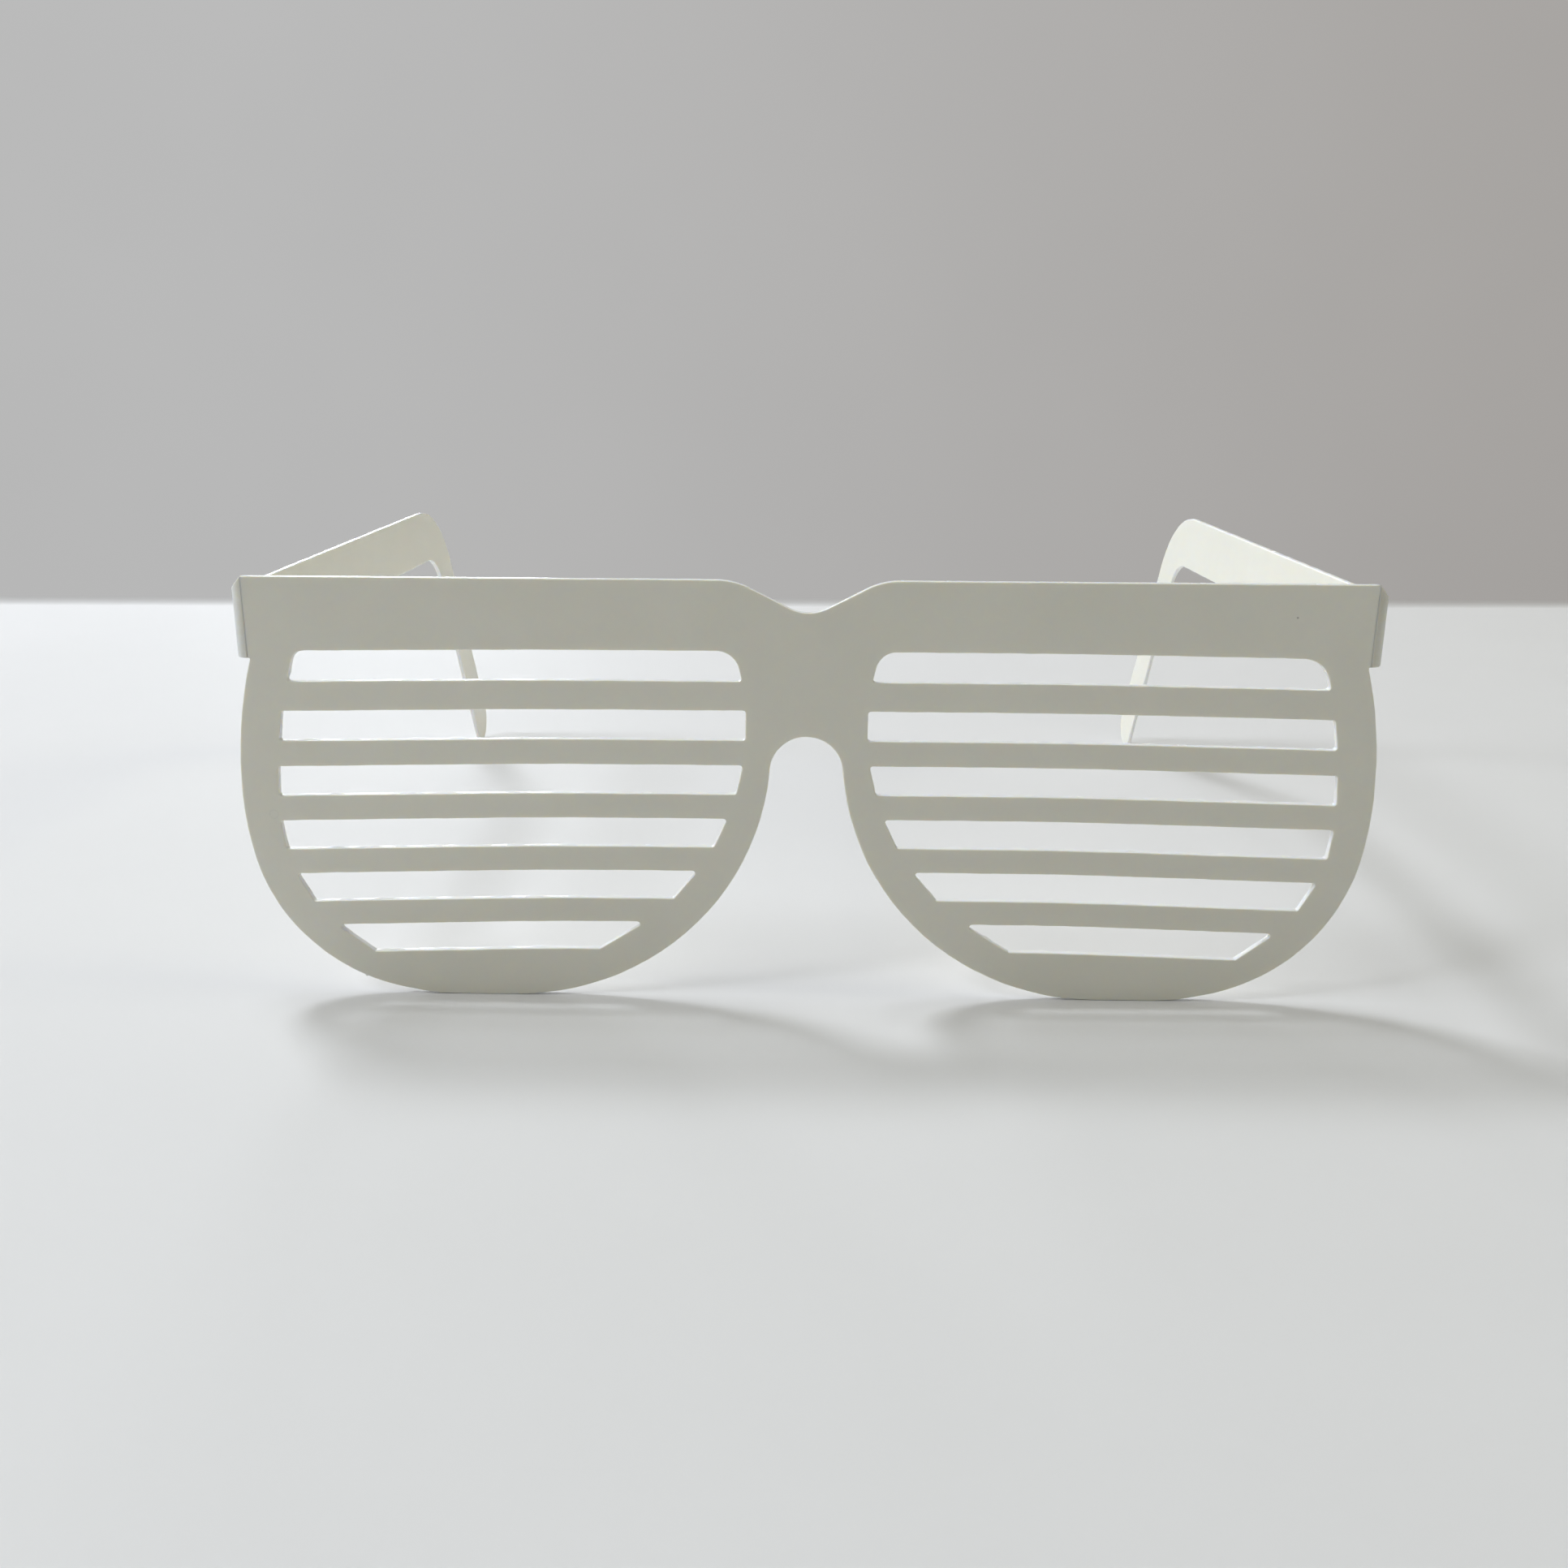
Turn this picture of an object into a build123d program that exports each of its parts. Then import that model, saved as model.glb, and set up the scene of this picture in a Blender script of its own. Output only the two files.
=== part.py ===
"""Slatted novelty glasses: a flat slatted front, two ear-hook temples and two thin fold webs.

Lengths are millimetres. X runs across the face, Y from the front back to the ears, Z up.
The front is symmetric about X = 0 but for the large corners under the brow. The glasses stand on
the rims and on the temple tips at Z = 0, and Y = 0 is halfway between the front face and the back
of the tips. Left is the wearer's left, on the +X side.
"""

import os
from math import asin, cos, degrees, radians, sqrt

from build123d import *

# Overall sizes
front_width = 156.1  # across the widest part of the two rims
front_height = 60.0
rim_overhang = 0.85  # how far a rim stands out past the temple's outer face
overall_depth = 148.0  # from the front face to the back of the temple tips

# Sheet
front_sheet = 1.0
temple_sheet = 0.8
web_sheet = 0.45  # the fold line is thinned so that it can bend

# Brow band and the dip over the bridge
band_height = 9.6
dip_half_width = 9.9
dip_depth = 5.05
dip_radius = 6.0
shoulder_radius = 10.0

# Nose arch
arch_half_width = 5.0
arch_top = 38.6

# Rim outline: an arc up the nose side, a flat to stand on and four arcs round the cheek
widest_level = 30.5
band_step = 0.25  # the rim starts this far inside the end of the band
flat_start_share = 0.5349  # of half the front's width, as for the next two width shares
flat_end_share = 0.6278
toe_width_share = 0.7636
toe_level_share = 0.0508  # of the widest level
cheek_width_share = 0.9891
cheek_level_share = 0.6885

# Slots and slats, from the band down: the four lower slats share what the slots leave
slot_count = 6
slot_height = 4.1
top_slat_height = 4.1
rim_foot = 7.3
slot_corner_radius = 0.5
left_nose_brow_radius = 2.8  # upper corners of the first slot, which differ from eye to eye
left_cheek_brow_radius = 3.8
right_nose_brow_radius = 3.0
right_cheek_brow_radius = 1.8

# Slot ends follow half an ellipse beside the nose and two quarter ellipses beside the cheek
eye_middle_share = 0.5894  # of half the front's width
bridge_width = 16.6
nose_level = 40.1
nose_drop = 36.7
rim_width = 5.05
cheek_level = 27.1
cheek_rise = 45.2
cheek_drop = 24.0

# Fold web: a quarter round from the band's end, then a short straight to the temple
fold_radius = 1.8
web_straight = 0.5

# Temple, and the hook behind the ear
temple_drop = 1.8  # from the band's top edge to the temple's
temple_height = 9.3
bend_height = 10.1  # the arm is a little deeper at the ear
hook_reach = 35.3  # from the meeting of the arm's top and the hook's back to the back of the tip
hook_setback = 3.5  # the arm's bottom and the hook's front meet this far before that
hook_back_radius = 29.0
hook_front_radius = 12.5
tip_radius = 4.8

# Places worked out from the sizes
half_width = front_width / 2
fold_x = half_width - rim_overhang
band_end = fold_x - fold_radius
front_y = -overall_depth / 2
band_bottom = front_height - band_height
slat_height = (band_bottom - rim_foot - slot_count * slot_height - top_slat_height) / (
    slot_count - 2
)
temple_top = front_height - temple_drop
temple_bottom = temple_top - temple_height
temple_start = fold_radius + web_straight
arch_spring = arch_top - arch_half_width
eye_middle = eye_middle_share * half_width


def slot_levels():
    """Bottom and top of each slot, from the top slot down."""
    levels = []
    top = band_bottom
    for number in range(slot_count):
        levels.append((top - slot_height, top))
        top -= slot_height + (top_slat_height if number == 0 else slat_height)
    return levels


def bulge(level, middle, drop, reach):
    """Reach of an ellipse at one level: full at its middle and zero at its drop from there."""
    height_share = min(abs(level - middle) / drop, 1)
    return reach * sqrt(1 - height_share**2)


def nose_edge(level):
    """Slot end beside the nose."""
    reach = eye_middle - bridge_width / 2
    return eye_middle - bulge(level, nose_level, nose_drop, reach)


def cheek_edge(level):
    """Slot end beside the cheek."""
    reach = half_width - rim_width - eye_middle
    drop = cheek_rise if level > cheek_level else cheek_drop
    return eye_middle + bulge(level, cheek_level, drop, reach)


def slot(bottom, top, cheek_radius, nose_radius):
    """One see-through slot with slanting ends and rounded corners, by its upper corners' radii."""
    corners = [
        (nose_edge(bottom), bottom),
        (cheek_edge(bottom), bottom),
        (cheek_edge(top), top),
        (nose_edge(top), top),
    ]
    radii = [slot_corner_radius, slot_corner_radius, cheek_radius, nose_radius]
    return make_face(FilletPolyline(*corners, radius=radii, close=True))


def slots(*brow_radii):
    """The slots over one eye, the first with the large corners under the brow."""
    shapes = []
    for number, (bottom, top) in enumerate(slot_levels()):
        upper_radii = brow_radii if number == 0 else (slot_corner_radius, slot_corner_radius)
        shapes.append(slot(bottom, top, *upper_radii))
    return shapes


def rim_edges():
    """Outline on the +X side, from the nose arch round the rim to the top of the band's end."""
    flat_start = (flat_start_share * half_width, 0)
    flat_end = (flat_end_share * half_width, 0)
    edges = [
        TangentArc(flat_start, (arch_half_width, arch_spring), tangent=(-1, 0)),
        Line(flat_start, flat_end),
    ]
    cheek = [
        flat_end,
        (toe_width_share * half_width, toe_level_share * widest_level),
        (cheek_width_share * half_width, cheek_level_share * widest_level),
        (half_width, widest_level),
        (band_end - band_step, temple_bottom),
    ]
    tangent = (1, 0)
    for start, end in zip(cheek, cheek[1:]):
        arc = TangentArc(start, end, tangent=tangent)
        edges.append(arc)
        tangent = arc % 1
    edges.append(Line(cheek[-1], (band_end, temple_bottom)))
    edges.append(Line((band_end, temple_bottom), (band_end, front_height)))
    return edges


def front_face():
    """Flat shape of the whole front, seen from the front."""
    brow = FilletPolyline(
        (-band_end, front_height),
        (-dip_half_width, front_height),
        (0, front_height - dip_depth),
        (dip_half_width, front_height),
        (band_end, front_height),
        radius=[shoulder_radius, dip_radius, shoulder_radius],
    )
    arch = ThreePointArc(
        (-arch_half_width, arch_spring), (0, arch_top), (arch_half_width, arch_spring)
    )
    right = rim_edges()
    left = [mirror(edge, about=Plane.YZ) for edge in right]
    plate = make_face([*brow.edges(), arch, *right, *left])
    for opening in slots(left_cheek_brow_radius, left_nose_brow_radius):
        plate -= opening
    for opening in slots(right_cheek_brow_radius, right_nose_brow_radius):
        plate -= mirror(opening, about=Plane.YZ)
    return plate


def front_frame():
    """The slatted front: band, bridge, rims and slats in one sheet."""
    plane = Plane.XZ.offset(-front_y)
    return extrude(plane * front_face(), amount=-front_sheet)


def hinge_web():
    """Thin strip on the +X side that joins the band's end to the temple and bends when it folds.

    From above it is a quarter round and a short straight. Its top slants down from the band
    to the lower temple.
    """
    middle_radius = fold_radius - web_sheet / 2
    middle_x = fold_x - web_sheet / 2
    quarter = CenterArc((band_end, fold_radius), middle_radius, -90, 90)
    straight = Line((middle_x, fold_radius), (middle_x, temple_start))
    plan = Pos(0, front_y, temple_bottom) * trace([quarter, straight], web_sheet)
    strip = extrude(plan, amount=front_height - temple_bottom)
    side_view = Polyline(
        (band_end, temple_bottom),
        (fold_x, temple_bottom),
        (fold_x, temple_top),
        (band_end, front_height),
        close=True,
    )
    plane = Plane.XZ.offset(-front_y)
    return strip & extrude(plane * make_face(side_view), amount=-temple_start)


def tip_touch(corner, centre, turn):
    """Where a straight edge from a corner touches the round tip, on the side given by turn."""
    line = centre - corner
    swing = asin(tip_radius / line.length)
    return corner + line.rotate(Axis.Z, turn * degrees(swing)) * cos(swing)


def temple():
    """Flat arm on the +X side with an ear hook whose round tip rests at Z = 0."""
    tip = Vector(overall_depth - tip_radius, tip_radius)
    back_corner = Vector(overall_depth - hook_reach, temple_top)
    front_corner = back_corner - Vector(hook_setback, bend_height)
    back_touch = tip_touch(back_corner, tip, 1)
    front_touch = tip_touch(front_corner, tip, -1)
    arm = FilletPolyline(
        back_touch,
        back_corner,
        (temple_start, temple_top),
        (temple_start, temple_bottom),
        front_corner,
        front_touch,
        radius=[hook_back_radius, 0, 0, hook_front_radius],
    )
    hook_way = tip - (back_corner + front_corner) / 2
    tip_end = tip + hook_way.normalized() * tip_radius
    round_tip = ThreePointArc(front_touch, tip_end, back_touch)
    side_face = make_face([*arm.edges(), round_tip])
    plane = Plane.YZ.offset(fold_x - temple_sheet)
    return Pos(0, front_y, 0) * extrude(plane * side_face, amount=temple_sheet)


def build():
    """All pieces by node name."""
    web = hinge_web()
    arm = temple()
    return {
        "front_frame": front_frame(),
        "left_hinge_web": web,
        "right_hinge_web": mirror(web, about=Plane.YZ),
        "left_temple": arm,
        "right_temple": mirror(arm, about=Plane.YZ),
    }


os.makedirs("parts", exist_ok=True)
for name, solid in build().items():
    export_step(solid, f"parts/{name}.step")
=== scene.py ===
"""Slatted novelty glasses: moulded skins for the front, the two fold webs and the two temples.

The glasses stand on a pale table with a grey wall behind it, as a camera above the brow sees them.
X runs across the face, Y from the front back to the ears and Z up. Lengths are metres.
"""

import bpy
import numpy as np
from bpy.props import FloatProperty, FloatVectorProperty, IntProperty, PointerProperty
from bpy.types import Operator, Panel, PropertyGroup
from mathutils import Matrix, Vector
from mathutils.geometry import delaunay_2d_cdt


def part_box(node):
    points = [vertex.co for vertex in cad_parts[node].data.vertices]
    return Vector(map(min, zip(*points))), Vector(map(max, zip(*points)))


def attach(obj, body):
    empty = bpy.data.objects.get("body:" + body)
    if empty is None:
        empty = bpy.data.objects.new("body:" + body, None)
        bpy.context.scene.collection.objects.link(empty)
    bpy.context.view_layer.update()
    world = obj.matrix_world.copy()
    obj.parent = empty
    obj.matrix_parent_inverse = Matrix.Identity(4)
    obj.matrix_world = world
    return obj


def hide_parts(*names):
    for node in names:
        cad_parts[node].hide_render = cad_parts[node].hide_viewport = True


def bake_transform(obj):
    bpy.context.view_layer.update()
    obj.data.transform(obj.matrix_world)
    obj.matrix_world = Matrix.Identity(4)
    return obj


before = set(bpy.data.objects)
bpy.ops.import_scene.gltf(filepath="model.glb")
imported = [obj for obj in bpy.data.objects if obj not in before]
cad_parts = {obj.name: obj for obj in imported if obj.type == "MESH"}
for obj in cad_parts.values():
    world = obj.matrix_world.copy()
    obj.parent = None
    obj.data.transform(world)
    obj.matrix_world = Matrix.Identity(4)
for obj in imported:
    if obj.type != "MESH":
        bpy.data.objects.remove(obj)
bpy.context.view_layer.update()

bl_info = {
    "name": "Slatted Novelty Glasses",
    "version": (1, 0, 0),
    "blender": (4, 5, 0),
    "location": "3D View > Sidebar > Glasses",
    "description": "Builds the skins of one-piece slatted glasses with fold-line temples",
    "category": "Add Mesh",
}

MM = 0.001

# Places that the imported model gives
FRONT_LOW, FRONT_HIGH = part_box("front_frame")
WEB_LOW, WEB_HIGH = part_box("left_hinge_web")
ARM_LOW, ARM_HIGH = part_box("left_temple")
FRONT_Y = FRONT_LOW.y
FRONT_SHEET = FRONT_HIGH.y - FRONT_LOW.y
FRONT_HEIGHT = FRONT_HIGH.z
HALF_WIDTH = FRONT_HIGH.x
BAND_END = WEB_LOW.x
FOLD_X = WEB_HIGH.x
FOLD_RADIUS = FOLD_X - BAND_END
ARM_START = ARM_LOW.y
ARM_BACK = ARM_HIGH.y
ARM_TOP = ARM_HIGH.z
ARM_BOTTOM = WEB_LOW.z
ARM_SHEET = ARM_HIGH.x - ARM_LOW.x
SIDES = {"left": 1, "right": -1}

# Finer than any real step: points nearer than this are one, or lie at the same level
SAME_POINT = 1e-7
SAME_LEVEL = 1e-6
ZERO_LENGTH = 1e-12
TRIANGLE_TOLERANCE = 1e-9

# Steps or points in which round stretches are drawn
ARC_STEPS = 24
CORNER_POINTS = 12
TIP_STEPS = 16
EDGE_POINTS = 5

# Random faults along an edge: the first seed and the shortest and longest wave of each kind
WAVES = 8
STRAY = (10, 4 * MM, 20 * MM)
SWELL = (40, 2 * MM, 9 * MM)
BURR = (70, 1.5 * MM, 8 * MM)
SWELL_SHARE = 0.3

# Beside a web an edge loses its faults over this way, and is held in line from this share on
JOIN_REACH = 2 * MM
HELD = 0.999

# The flat face starts this far inside its rounded edge
SUPPORT_STEP = 0.1 * MM


def length(name, description, millimetres):
    """A length setting, given in millimetres and held in metres."""
    return FloatProperty(
        name=name,
        description=description,
        default=millimetres * MM,
        precision=5,
        subtype="DISTANCE",
        unit="LENGTH",
    )


def share(name, description, default):
    """A setting without a unit."""
    return FloatProperty(name=name, description=description, default=default, precision=4)


def colour(name, description, default):
    """A linear colour setting."""
    return FloatVectorProperty(
        name=name, description=description, default=default, size=3, subtype="COLOR", min=0, max=1
    )


def turning(name, description, degrees):
    """An angle setting, given in degrees and held in radians."""
    radians = float(np.radians(degrees))
    return FloatProperty(name=name, description=description, default=radians, subtype="ANGLE")


def power(name, description, default):
    """The power of a lamp."""
    return FloatProperty(name=name, description=description, default=default, unit="POWER")


class FrontSizes(PropertyGroup):
    """Sizes of the slatted front."""

    band_height: length("Band height", "Brow band, from its top edge to the first slot", 9.6)
    dip_half_width: length("Dip half width", "Half the dip over the bridge", 9.9)
    dip_depth: length("Dip depth", "Depth of the dip's two straight sides", 5.05)
    dip_radius: length("Dip radius", "Round at the bottom of the dip", 6.0)
    shoulder_radius: length("Shoulder radius", "Round where the dip starts", 10.0)
    arch_half_width: length("Arch half width", "Half the nose arch at its top", 5.0)
    arch_top: length("Arch top", "Level of the nose arch", 38.6)
    widest_level: length("Widest level", "Level at which the rims are widest", 30.5)
    band_step: length("Band step", "The rim starts this far inside the band's end", 0.25)
    flat_start: share("Flat start", "Start of the foot, as a share of half the width", 0.5349)
    flat_end: share("Flat end", "End of the foot, as a share of half the width", 0.6278)
    toe_width: share("Toe width", "Where the foot's round ends, of half the width", 0.7636)
    toe_level: share("Toe level", "Where the foot's round ends, of the widest level", 0.0508)
    cheek_width: share("Cheek width", "Where the cheek's round ends, of half the width", 0.9891)
    cheek_level: share("Cheek level", "Where the cheek's round ends, of the widest level", 0.6885)


class SlotSizes(PropertyGroup):
    """Sizes of the slots over each eye."""

    count: IntProperty(name="Slots", description="Slots over each eye", default=6, min=3)
    height: length("Slot height", "Height of each slot", 4.1)
    top_slat: length("Top slat", "Height of the slat under the first slot", 4.1)
    rim_foot: length("Rim foot", "Rim under the last slot", 7.3)
    corner_radius: length("Corner radius", "Round of the slots' corners", 0.35)
    bend_start: length("Bend start", "Where the slots start to bend down to the cheek", 36.0)
    bend_softness: length("Bend softness", "How softly that bend starts", 4.0)
    bend_slope: share("Bend slope", "Fall of the lowest slot's bend on its way outwards", 0.032)
    level_top: length("Level line", "A slot at this level would not bend at all", 80.0)
    left_nose_brow: length("Left nose brow", "Upper corner of the left eye's first slot", 2.8)
    left_cheek_brow: length("Left cheek brow", "Its upper corner beside the cheek", 3.8)
    right_nose_brow: length("Right nose brow", "Upper corner of the right eye's first slot", 3.0)
    right_cheek_brow: length("Right cheek brow", "Its upper corner beside the cheek", 1.8)
    eye_middle: share("Eye middle", "Middle of an eye, as a share of half the width", 0.5894)
    bridge_width: length("Bridge width", "Between the two eyes' slots", 16.6)
    nose_level: length("Nose level", "Level of the ellipse beside the nose", 40.1)
    nose_drop: length("Nose drop", "Half height of the ellipse beside the nose", 36.7)
    rim_width: length("Rim width", "Rim beside the cheek", 5.05)
    cheek_level: length("Cheek level", "Level of the ellipses beside the cheek", 27.1)
    cheek_rise: length("Cheek rise", "Half height of the cheek's ellipse, upwards", 45.2)
    cheek_drop: length("Cheek drop", "Half height of the cheek's ellipse, downwards", 24.0)


class ArmSizes(PropertyGroup):
    """Sizes of the temples and of the webs that they fold on."""

    web_sheet: length("Web thickness", "Thickness of the fold web", 0.45)
    bend_height: length("Bend height", "Depth of the arm at the ear", 10.1)
    hook_reach: length("Hook reach", "From the arm's corner to the back of the tip", 35.3)
    hook_setback: length("Hook setback", "How far the lower corner is before the upper", 3.5)
    back_radius: length("Back radius", "Round at the top of the bend", 29.0)
    front_radius: length("Front radius", "Round inside the bend", 12.5)
    tip_radius: length("Tip radius", "Round of the tip", 4.8)


class EdgeSizes(PropertyGroup):
    """Rounding and small faults of the moulded edges."""

    radius: length("Edge radius", "Round of the front's edges on the face", 0.15)
    back_radius: length("Back edge radius", "Round of the front's edges on the back", 0.10)
    arm_radius: length("Temple edge radius", "Round of the temples' and webs' edges", 0.18)
    wander: length("Wander", "How far an edge strays from its line", 0.035)
    flash: length("Flash", "Height of the burr on the back edge", 0.10)
    spacing: length("Spacing", "Longest step along an edge", 0.7)
    mesh_step: length("Mesh step", "Spacing of the points inside a flat face", 2.5)


class MarkSizes(PropertyGroup):
    """Small marks that the moulding left on the front."""

    nub_x: length("Nub across", "Where the stub of the cut-off gate stands", -62.84)
    nub_z: length("Nub level", "Its level above the table", 2.21)
    nub_height: length("Nub height", "How far it stands out of the rim", 0.35)
    nub_width: length("Nub width", "Its width along the rim", 0.5)
    ring_x: length("Ring across", "Middle of the faint ring that an ejector pin left", -73.9)
    ring_z: length("Ring level", "Its level above the table", 26.9)
    ring_radius: length("Ring radius", "Radius of the ring", 0.6)


class PlasticFinish(PropertyGroup):
    """Colours and depths of the plastic."""

    body: colour("Plastic", "Colour of the moulded plastic", (0.880, 0.862, 0.775))
    # The fold's paler bluish tint is partly whitening of the bent plastic and partly painted light,
    # where the fold turns to face the lamps
    fold: colour("Fold", "Colour where the plastic has been bent", (0.80, 0.81, 0.80))
    # The narrow edges' whiter tint is painted light for their brightly lit tops
    edge: colour("Edge", "Colour of the sheet's narrow edges", (0.96, 0.96, 0.94))
    speck: colour("Speck", "Colour of the few dust specks", (0.30, 0.28, 0.25))
    depth: length("Light depth", "How far light travels in the plastic", 0.30)


class StageSettings(PropertyGroup):
    """Table, wall and light."""

    table: colour("Table", "Colour of the table", (0.782, 0.770, 0.772))
    # The wall's grey with painted light and shade: lighter on its left side and darker on its right
    wall_painted_lit_left: colour("Wall, left", "Colour of the wall's left side", (0.500, 0.500, 0.500))
    wall_painted_shaded_right: colour("Wall, right", "Colour of the wall's right side", (0.388, 0.371, 0.356))
    wall_y: length("Wall", "How far behind the glasses' middle the wall stands", 268.7)
    wall_turn: turning("Wall turn", "How far the wall is turned from the front", 2.1)
    cove: length("Cove", "Round between the table and the wall", 3.0)
    room: colour("Room", "Light from all round", (0.082, 0.080, 0.060))
    window: power("Window", "Power of the lamp high behind on the left", 7.50)
    top: power("Top lamp", "Power of the lamp nearly overhead", 2.60)
    left: power("Left lamp", "Power of the low lamp on the left", 3.50)
    side: power("Side lamp", "Power of the higher lamp on the left", 4.00)
    right: power("Right lamp", "Power of the lamp on the right", 2.60)
    back: power("Back lamp", "Power of the low lamp behind, which the slats' tops mirror", 2.3)
    lamp_distance: length("Lamp distance", "How far the lamps are from the glasses", 1400.0)
    lamp_size: length("Lamp size", "Side of each square lamp", 280.0)
    daylight: colour("Daylight", "Colour of the lamps but the right one", (0.90, 0.95, 1.0))
    warm: colour("Warm light", "Colour of the right lamp", (0.93, 0.90, 0.66))


SETTINGS = {
    "glasses_front": FrontSizes,
    "glasses_slots": SlotSizes,
    "glasses_arms": ArmSizes,
    "glasses_edges": EdgeSizes,
    "glasses_marks": MarkSizes,
    "glasses_plastic": PlasticFinish,
    "glasses_stage": StageSettings,
}


def turned(vectors):
    """Plane vectors turned a quarter to the left."""
    return np.stack([-vectors[..., 1], vectors[..., 0]], axis=-1)


def unit(vectors):
    """Vectors scaled to length one, and zero where they are zero."""
    return vectors / np.maximum(np.linalg.norm(vectors, axis=-1, keepdims=True), ZERO_LENGTH)


def around(angle):
    """Directions in the plane at an angle from the first axis."""
    return np.stack([np.cos(angle), np.sin(angle)], axis=-1)


def heading_of(vector):
    """Angle of one plane vector from the first axis."""
    return np.arctan2(vector[1], vector[0])


def smooth(value, low, high):
    """A smooth step from 0 at low to 1 at high."""
    part = np.clip((value - low) / (high - low), 0, 1)
    return part * part * (3 - 2 * part)


def arc(start, heading, end):
    """Points of the arc that leaves start at a heading and ends at end, and its last heading.

    The chord to a point turns half as far as the arc has turned there. Its length is the whole
    chord times the sine of that half turn, over the sine of the whole half turn.
    """
    chord = np.subtract(end, start)
    half_turn = (heading_of(chord) - heading + np.pi) % (2 * np.pi) - np.pi
    part = half_turn * np.linspace(0, 1, ARC_STEPS + 1)
    reach = np.hypot(*chord) * np.sin(part) / np.sin(half_turn)
    return start + reach[:, None] * around(heading + part), heading + 2 * half_turn


def rounded(corners, radii):
    """A closed line through corners, each replaced by an arc that touches the runs beside it.

    The arc's centre lies on the way between the two runs, at its radius over the sine of half
    the corner's angle. Its spoke turns evenly from square on one run to square on the other.
    """
    corners = np.asarray(corners, float)
    before = unit(np.roll(corners, 1, axis=0) - corners)
    after = unit(np.roll(corners, -1, axis=0) - corners)
    radii = np.broadcast_to(radii, len(corners)).astype(float)
    half_angle = np.arccos(np.clip((before * after).sum(axis=1), -1, 1)) / 2
    left_turn = np.sign((turned(after) * before).sum(axis=1))
    centres = corners + unit(before + after) * (radii / np.sin(half_angle))[:, None]
    spoke = turned(before) * left_turn[:, None]
    sweep = left_turn * (np.pi - 2 * half_angle)
    first = np.arctan2(spoke[:, 1], spoke[:, 0])
    angle = first[:, None] + sweep[:, None] * np.linspace(0, 1, CORNER_POINTS)
    return (centres[:, None] + radii[:, None, None] * around(angle)).reshape(-1, 2)


def closed_loop(parts, spacing):
    """Joins runs of points into one loop without doubled points, and splits its long steps."""
    points = np.concatenate(parts)
    gap = np.linalg.norm(np.roll(points, -1, axis=0) - points, axis=1)
    points = points[gap > SAME_POINT]
    step = np.roll(points, -1, axis=0) - points
    counts = np.maximum(np.ceil(np.linalg.norm(step, axis=1) / spacing).astype(int), 1)
    index = np.repeat(np.arange(len(points)), counts)
    place = np.arange(counts.sum()) - np.repeat(np.cumsum(counts) - counts, counts)
    return points[index] + step[index] * (place / counts[index])[:, None]


def inward(loop):
    """Directions into the material, which lies to the left of the way round the loop."""
    ahead = unit(np.roll(loop, -1, axis=0) - loop)
    return unit(turned(ahead + np.roll(ahead, 1, axis=0)))


def wander(loop, seed, shortest, longest):
    """A smooth random value from -1 to 1 along a loop.

    It is the sum of eight sines with whole turns round the loop, over half their number, and
    held between -1 and 1.
    """
    step = np.linalg.norm(np.roll(loop, -1, axis=0) - loop, axis=1)
    along = np.cumsum(step) / step.sum()
    random = np.random.default_rng(seed)
    turns = np.round(step.sum() / random.uniform(shortest, longest, WAVES))
    phases = random.uniform(0, 2 * np.pi, WAVES)
    waves = np.sin(2 * np.pi * np.outer(turns, along) + phases[:, None])
    return np.clip(waves.sum(axis=0) / (WAVES / 2), -1, 1)


def slot_levels(front, slots):
    """Bottom and top of each slot, from the top slot down."""
    band_bottom = FRONT_HEIGHT - front.band_height
    used = slots.rim_foot + slots.count * slots.height + slots.top_slat
    slat = (band_bottom - used) / (slots.count - 2)
    below = np.arange(slots.count)
    tops = band_bottom - below * (slots.height + slat) - (below > 0) * (slots.top_slat - slat)
    return list(zip(tops - slots.height, tops))


def bulge(level, middle, drop, reach):
    """Reach of an ellipse at a level: full at its middle and zero at its drop from there."""
    return reach * np.sqrt(1 - min(abs(level - middle) / drop, 1) ** 2)


def slot_ends(level, slots):
    """The slot's end beside the nose and its end beside the cheek, at one level."""
    middle = slots.eye_middle * HALF_WIDTH
    nose = bulge(level, slots.nose_level, slots.nose_drop, middle - slots.bridge_width / 2)
    drop = slots.cheek_rise if level > slots.cheek_level else slots.cheek_drop
    reach = HALF_WIDTH - slots.rim_width - middle
    return middle - nose, middle + bulge(level, slots.cheek_level, drop, reach)


def bent(loop, slots):
    """A slot's outline, bent down a little towards the cheek as the thin slats are.

    The way outwards counts from the bend's start, softly: it is the softness times the logarithm
    of one more than the exponential of the plain way over the softness. The fall is that way
    times the slope, and less for a higher slot, in even steps up to the level line.
    """
    way = (np.abs(loop[:, 0]) - slots.bend_start) / slots.bend_softness
    outwards = slots.bend_softness * np.logaddexp(0, way)
    nearness = (slots.level_top - loop[:, 1]) / (slots.level_top - slots.rim_foot)
    slope = slots.bend_slope * nearness
    return loop - np.stack([0 * slope, slope * outwards], axis=1)


def slot_loops(front, slots, spacing):
    """Every slot's outline over both eyes, with the material to its left."""
    loops = []
    small = slots.corner_radius
    for number, (bottom, top) in enumerate(slot_levels(front, slots)):
        low_nose, low_cheek = slot_ends(bottom, slots)
        high_nose, high_cheek = slot_ends(top, slots)
        corners = [(low_nose, bottom), (low_cheek, bottom), (high_cheek, top), (high_nose, top)]
        left = (small, small) if number else (slots.left_cheek_brow, slots.left_nose_brow)
        right = (small, small) if number else (slots.right_cheek_brow, slots.right_nose_brow)
        loops.append(closed_loop([rounded(corners, (small, small, *left))], spacing)[::-1])
        loops.append(closed_loop([rounded(corners, (small, small, *right))], spacing) * (-1, 1))
    return [bent(loop, slots) for loop in loops]


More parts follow.
